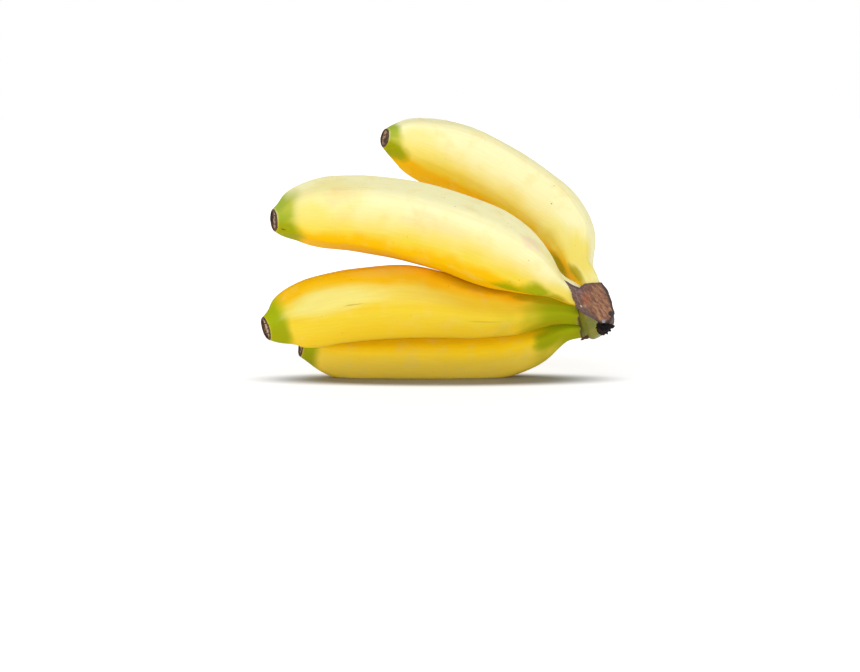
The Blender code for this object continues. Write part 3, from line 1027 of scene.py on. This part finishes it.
def cap_material():
    """Brown fibres with tan and reddish streaks, purple grey at the rim and nearly black round the side."""
    made, tree, shader = new_finish("dried crown cut")
    place = object_place(tree)
    facet = stored(tree, "facet")
    rim = stored(tree, "rim")
    across, _, height = add(tree, "SeparateXYZ", place).node.outputs
    fine = use(tree, dried_fibres, Place=place, Turn=FIBRE_TURN, Scale=2600.0)["Fibres"]
    broad = use(tree, dried_fibres, Place=place, Turn=FIBRE_TURN, Scale=950.0)["Fibres"]
    tan = times(tree, between(tree, across, 0.0575, 0.0645), between(tree, broad, 0.38, 0.6))
    tan = times(tree, tan, between(tree, height, 0.033, 0.039, 1.0, 0.45))
    colour = blend(tree, tan, CAP_BROWN, CAP_TAN)
    colour = blend(tree, between(tree, fine, 0.52, 0.68, 0.0, 0.6), colour, FIBRE_LIGHT)
    colour = blend(tree, between(tree, fine, 0.34, 0.48, 0.7, 0.0), colour, FIBRE_DARK)
    raw = near_spot(tree, place, RAW_PLACE, 0.8, 3.6)
    raw = times(tree, raw, between(tree, broad, 0.4, 0.58, 0.0, 0.85))
    colour = blend(tree, raw, colour, RAW_RED)
    # The flap lies where x less half the height is small, and a light fold parts it from the cut.
    leaning = plus(tree, across, times(tree, height, -0.5))
    grey = blend(tree, between(tree, fine, 0.4, 0.62), *FLAP_GREY)
    colour = blend(tree, between(tree, leaning, 0.036, 0.042, 0.75, 0.0), colour, grey)
    fold = between(tree, leaning, 0.0415, 0.0425)
    fold = times(tree, fold, between(tree, leaning, 0.0430, 0.0442, 0.6, 0.0))
    fold = times(tree, fold, between(tree, height, 0.0300, 0.0315, 1.0, 0.0))
    colour = blend(tree, fold, colour, FOLD_TAN)
    colour = blend(tree, between(tree, rim, 0.15, 0.8, 0.7, 0.0), colour, RIM_BROWN)
    outer = times(tree, between(tree, across, 0.0640, 0.0655), between(tree, rim, 0.5, 1.2, 0.9, 0.0))
    colour = blend(tree, outer, colour, EDGE_BLACK)
    side = blend(tree, between(tree, across, 0.060, 0.065), grey, EDGE_BLACK)
    colour = blend(tree, between(tree, facet, 0.6, 0.9, 0.92, 0.0), colour, side)
    # Painted light: a dark spot painted as a hollow's shadow and a grey spot painted as a glint, with a
    # small pale fleck.
    for spot, size, tone in CAP_SPOTS:
        colour = blend(tree, near_spot(tree, place, spot, size * 0.5, size), colour, (*tone, 1))
    tree.links.new(colour, shader.inputs["Base Color"])
    tree.links.new(between(tree, fine, 0.3, 0.7, 0.42, 0.7), shader.inputs["Roughness"])
    relief(tree, shader, fine, 0.7, 0.2)
    return made


dried_fibres = dried_fibres_group()
piece("crown_dried_cut", cap_mesh(), cap_material(), "crown", "crown")

# The torn stump and the shred
# Where the hand was torn from its stalk, low on the crown: a short black nub of splintered fibre. A small
# brown shred of dried skin hangs from the lower corner of the pad. Both grew as part of the crown.

STUMP_BASE = (63.9, -6.6, 22.8)
STUMP_TIP = (66.9, -9.3, 20.3)
STUMP_WIDTHS = (8.0, 5.2)
STUMP_VOXEL = 0.2
STUMP_BLACK = ((0.002, 0.0015, 0.0015, 1), (0.03, 0.012, 0.007, 1))
SPLINTERS = 7
TORN_ROOT = (66.0, -8.4, 21.6)
TORN_TIP = (70.0, -9.6, 21.8)
TORN_WIDTHS = (2.4, 0.5)
# The shred's curled ends: from where to where, and the radius at the root.
SHRED = [((60.0, -6.2, 17.4), (57.4, -7.0, 16.3), 0.8), ((58.0, -6.8, 16.6), (56.8, -7.2, 16.1), 0.6)]
SHRED_BROWN = ((0.085, 0.03, 0.016, 1), (0.2, 0.085, 0.04, 1))


def stump_mesh():
    """A ragged nub with splinters standing out of its end."""
    start, end = at(*STUMP_BASE), at(*STUMP_TIP)
    way = (end - start).normalized()
    shape = bmesh.new()
    tapered(shape, start, end, STUMP_WIDTHS[0] / 2, STUMP_WIDTHS[1] / 2, 40)
    side = way.orthogonal().normalized()
    for number in range(SPLINTERS):
        out = Matrix.Rotation(number * 2.4, 3, way) @ side
        root = end + out * (0.9 + 1.5 * ((number * 0.618) % 1.0)) - way * 1.2
        length = 1.3 + 1.0 * ((number * 0.382) % 1.0)
        tapered(shape, root, root + (way + out * 0.35).normalized() * length, 1.2, 0.35, 7)
    tapered(shape, at(*TORN_ROOT), at(*TORN_TIP), *TORN_WIDTHS, 9)
    shape = melted("stump", shape, STUMP_VOXEL)
    smoothed(shape, 1)
    shape.normal_update()
    for vert in shape.verts:
        vert.co += vert.normal * (0.35 * noise.noise(vert.co / 1.1) + 0.15 * noise.noise(vert.co / 0.45))
    return finished("crown_torn_stump", shape)


def shred_mesh():
    """Two short curled ends of dried skin."""
    shape = bmesh.new()
    for start, end, width in SHRED:
        tapered(shape, at(*start), at(*end), width, 0.3, 9)
    shape = melted("shred", shape, STUMP_VOXEL)
    smoothed(shape, 1)
    shape.normal_update()
    for vert in shape.verts:
        vert.co += vert.normal * 0.25 * noise.noise(vert.co / 0.8)
    return finished("crown_dried_shred", shape)


def torn_material(name, dark, dusty):
    """Rotted fibre with brown dust in places."""
    made, tree, shader = new_finish(name)
    place = object_place(tree)
    fine = speckle(tree, place, (1, 1, 1), 1300.0, 4)
    cloud = speckle(tree, place, (1, 1, 1), 350.0, 2)
    colour = blend(tree, between(tree, cloud, 0.5, 0.72), dark, dusty)
    tree.links.new(colour, shader.inputs["Base Color"])
    shader.inputs["Specular IOR Level"].default_value = 0.14
    tree.links.new(between(tree, fine, 0.35, 0.65, 0.3, 0.75), shader.inputs["Roughness"])
    relief(tree, shader, fine, 0.9, 0.2)
    return made


piece("crown_torn_stump", stump_mesh(), torn_material("torn stump", *STUMP_BLACK), "crown", "crown")
piece("crown_dried_shred", shred_mesh(), torn_material("dried shred", *SHRED_BROWN), "crown", "crown")

# The floor, the light and the camera
# A pale table top, a wide soft light above and a weak one in front, and a long lens a metre away. The table
# glows everywhere but in a patch under the hand, which makes a painted contact shadow.

# Painted contact shadow: the table glows everywhere but in this patch under the hand, which stays dark.
SHADE_MIDDLE = (0.0, -0.011, 0.0)  # of the patch round which the table lights up
SHADE_SIZE = (0.048, 0.0145, 1.0)  # half its length and width
floor_shape = bmesh.new()
bmesh.ops.create_grid(floor_shape, x_segments=1, y_segments=1, size=3.0)
floor_mesh = bpy.data.meshes.new("floor")
floor_shape.to_mesh(floor_mesh)
floor_shape.free()
floor = bpy.data.objects.new("floor", floor_mesh)
bpy.context.scene.collection.objects.link(floor)
floor_finish, floor_tree, floor_shader = new_finish("pale table")
floor_shader.inputs["Base Color"].default_value = (0.33, 0.33, 0.33, 1)
floor_shader.inputs["Roughness"].default_value = 0.8
floor_shader.inputs["Specular IOR Level"].default_value = 0.2
floor_shader.inputs["Emission Color"].default_value = (1, 1, 1, 1)
floor_away = add(floor_tree, "VectorMath", object_place(floor_tree), SHADE_MIDDLE, operation="SUBTRACT")
floor_away = add(floor_tree, "VectorMath", floor_away, SHADE_SIZE, operation="DIVIDE")
floor_away = named(add(floor_tree, "VectorMath", floor_away, operation="LENGTH"), "Value")
# Glow that leaves the patch dark as a painted contact shadow, and lifts the far table to white.
floor_glow = between(floor_tree, floor_away, 0.9, 1.7, 0.0, 0.76)
floor_glow = plus(floor_tree, floor_glow, between(floor_tree, floor_away, 5.0, 20.0, 0.0, 0.3))
floor_tree.links.new(floor_glow, floor_shader.inputs["Emission Strength"])
floor_mesh.materials.append(floor_finish)

TARGET = Vector((0, 0, 50)) * MM


def soft_light(name, place, width, height, watts):
    """A wide flat lamp that faces the hand."""
    lamp = bpy.data.lights.new(name, "AREA")
    lamp.shape = "RECTANGLE"
    lamp.size, lamp.size_y = width, height
    lamp.energy = watts
    made = bpy.data.objects.new(name, lamp)
    made.location = place
    made.rotation_euler = (TARGET - Vector(place)).to_track_quat("-Z", "Y").to_euler()
    bpy.context.scene.collection.objects.link(made)


soft_light("overhead", (-0.1, -0.3, 1.2), 1.0, 0.8, 6.5)
soft_light("front", (0.0, -1.2, 0.1), 0.8, 0.3, 2.4)

ROOM_LIGHT = 0.30
HORIZON_LIGHT = 1.05
world = bpy.data.worlds.new("pale room")
bpy.context.scene.world = world
world.use_nodes = True
room = world.node_tree
sky = room.nodes["Background"]
sky.inputs["Color"].default_value = (1, 1, 1, 1)
sky_way = named(add(room, "TexCoord"), "Generated")
sky_height = named(add(room, "SeparateXYZ", sky_way), "Z")
sky_level = between(room, sky_height, 0.2, 0.55, HORIZON_LIGHT, ROOM_LIGHT)
rays = named(add(room, "LightPath"), "Is Camera Ray")
seen = add(room, "Mix", rays, sky_level, 1.0, data_type="FLOAT")
room.links.new(seen, sky.inputs["Strength"])

CAMERA_PLACE = Vector((0.0, -1001.9, 137.2)) * MM
CAMERA_AIM = Vector((-3.2, -5.7, 16.8)) * MM
camera_data = bpy.data.cameras.new("camera")
camera_data.lens = 104.65
camera_data.sensor_width = 36.0
camera = bpy.data.objects.new("camera", camera_data)
camera.location = CAMERA_PLACE
camera.rotation_euler = (CAMERA_AIM - CAMERA_PLACE).to_track_quat("-Z", "Y").to_euler()
bpy.context.scene.collection.objects.link(camera)
bpy.context.scene.camera = camera
bpy.context.scene.view_settings.view_transform = "Standard"
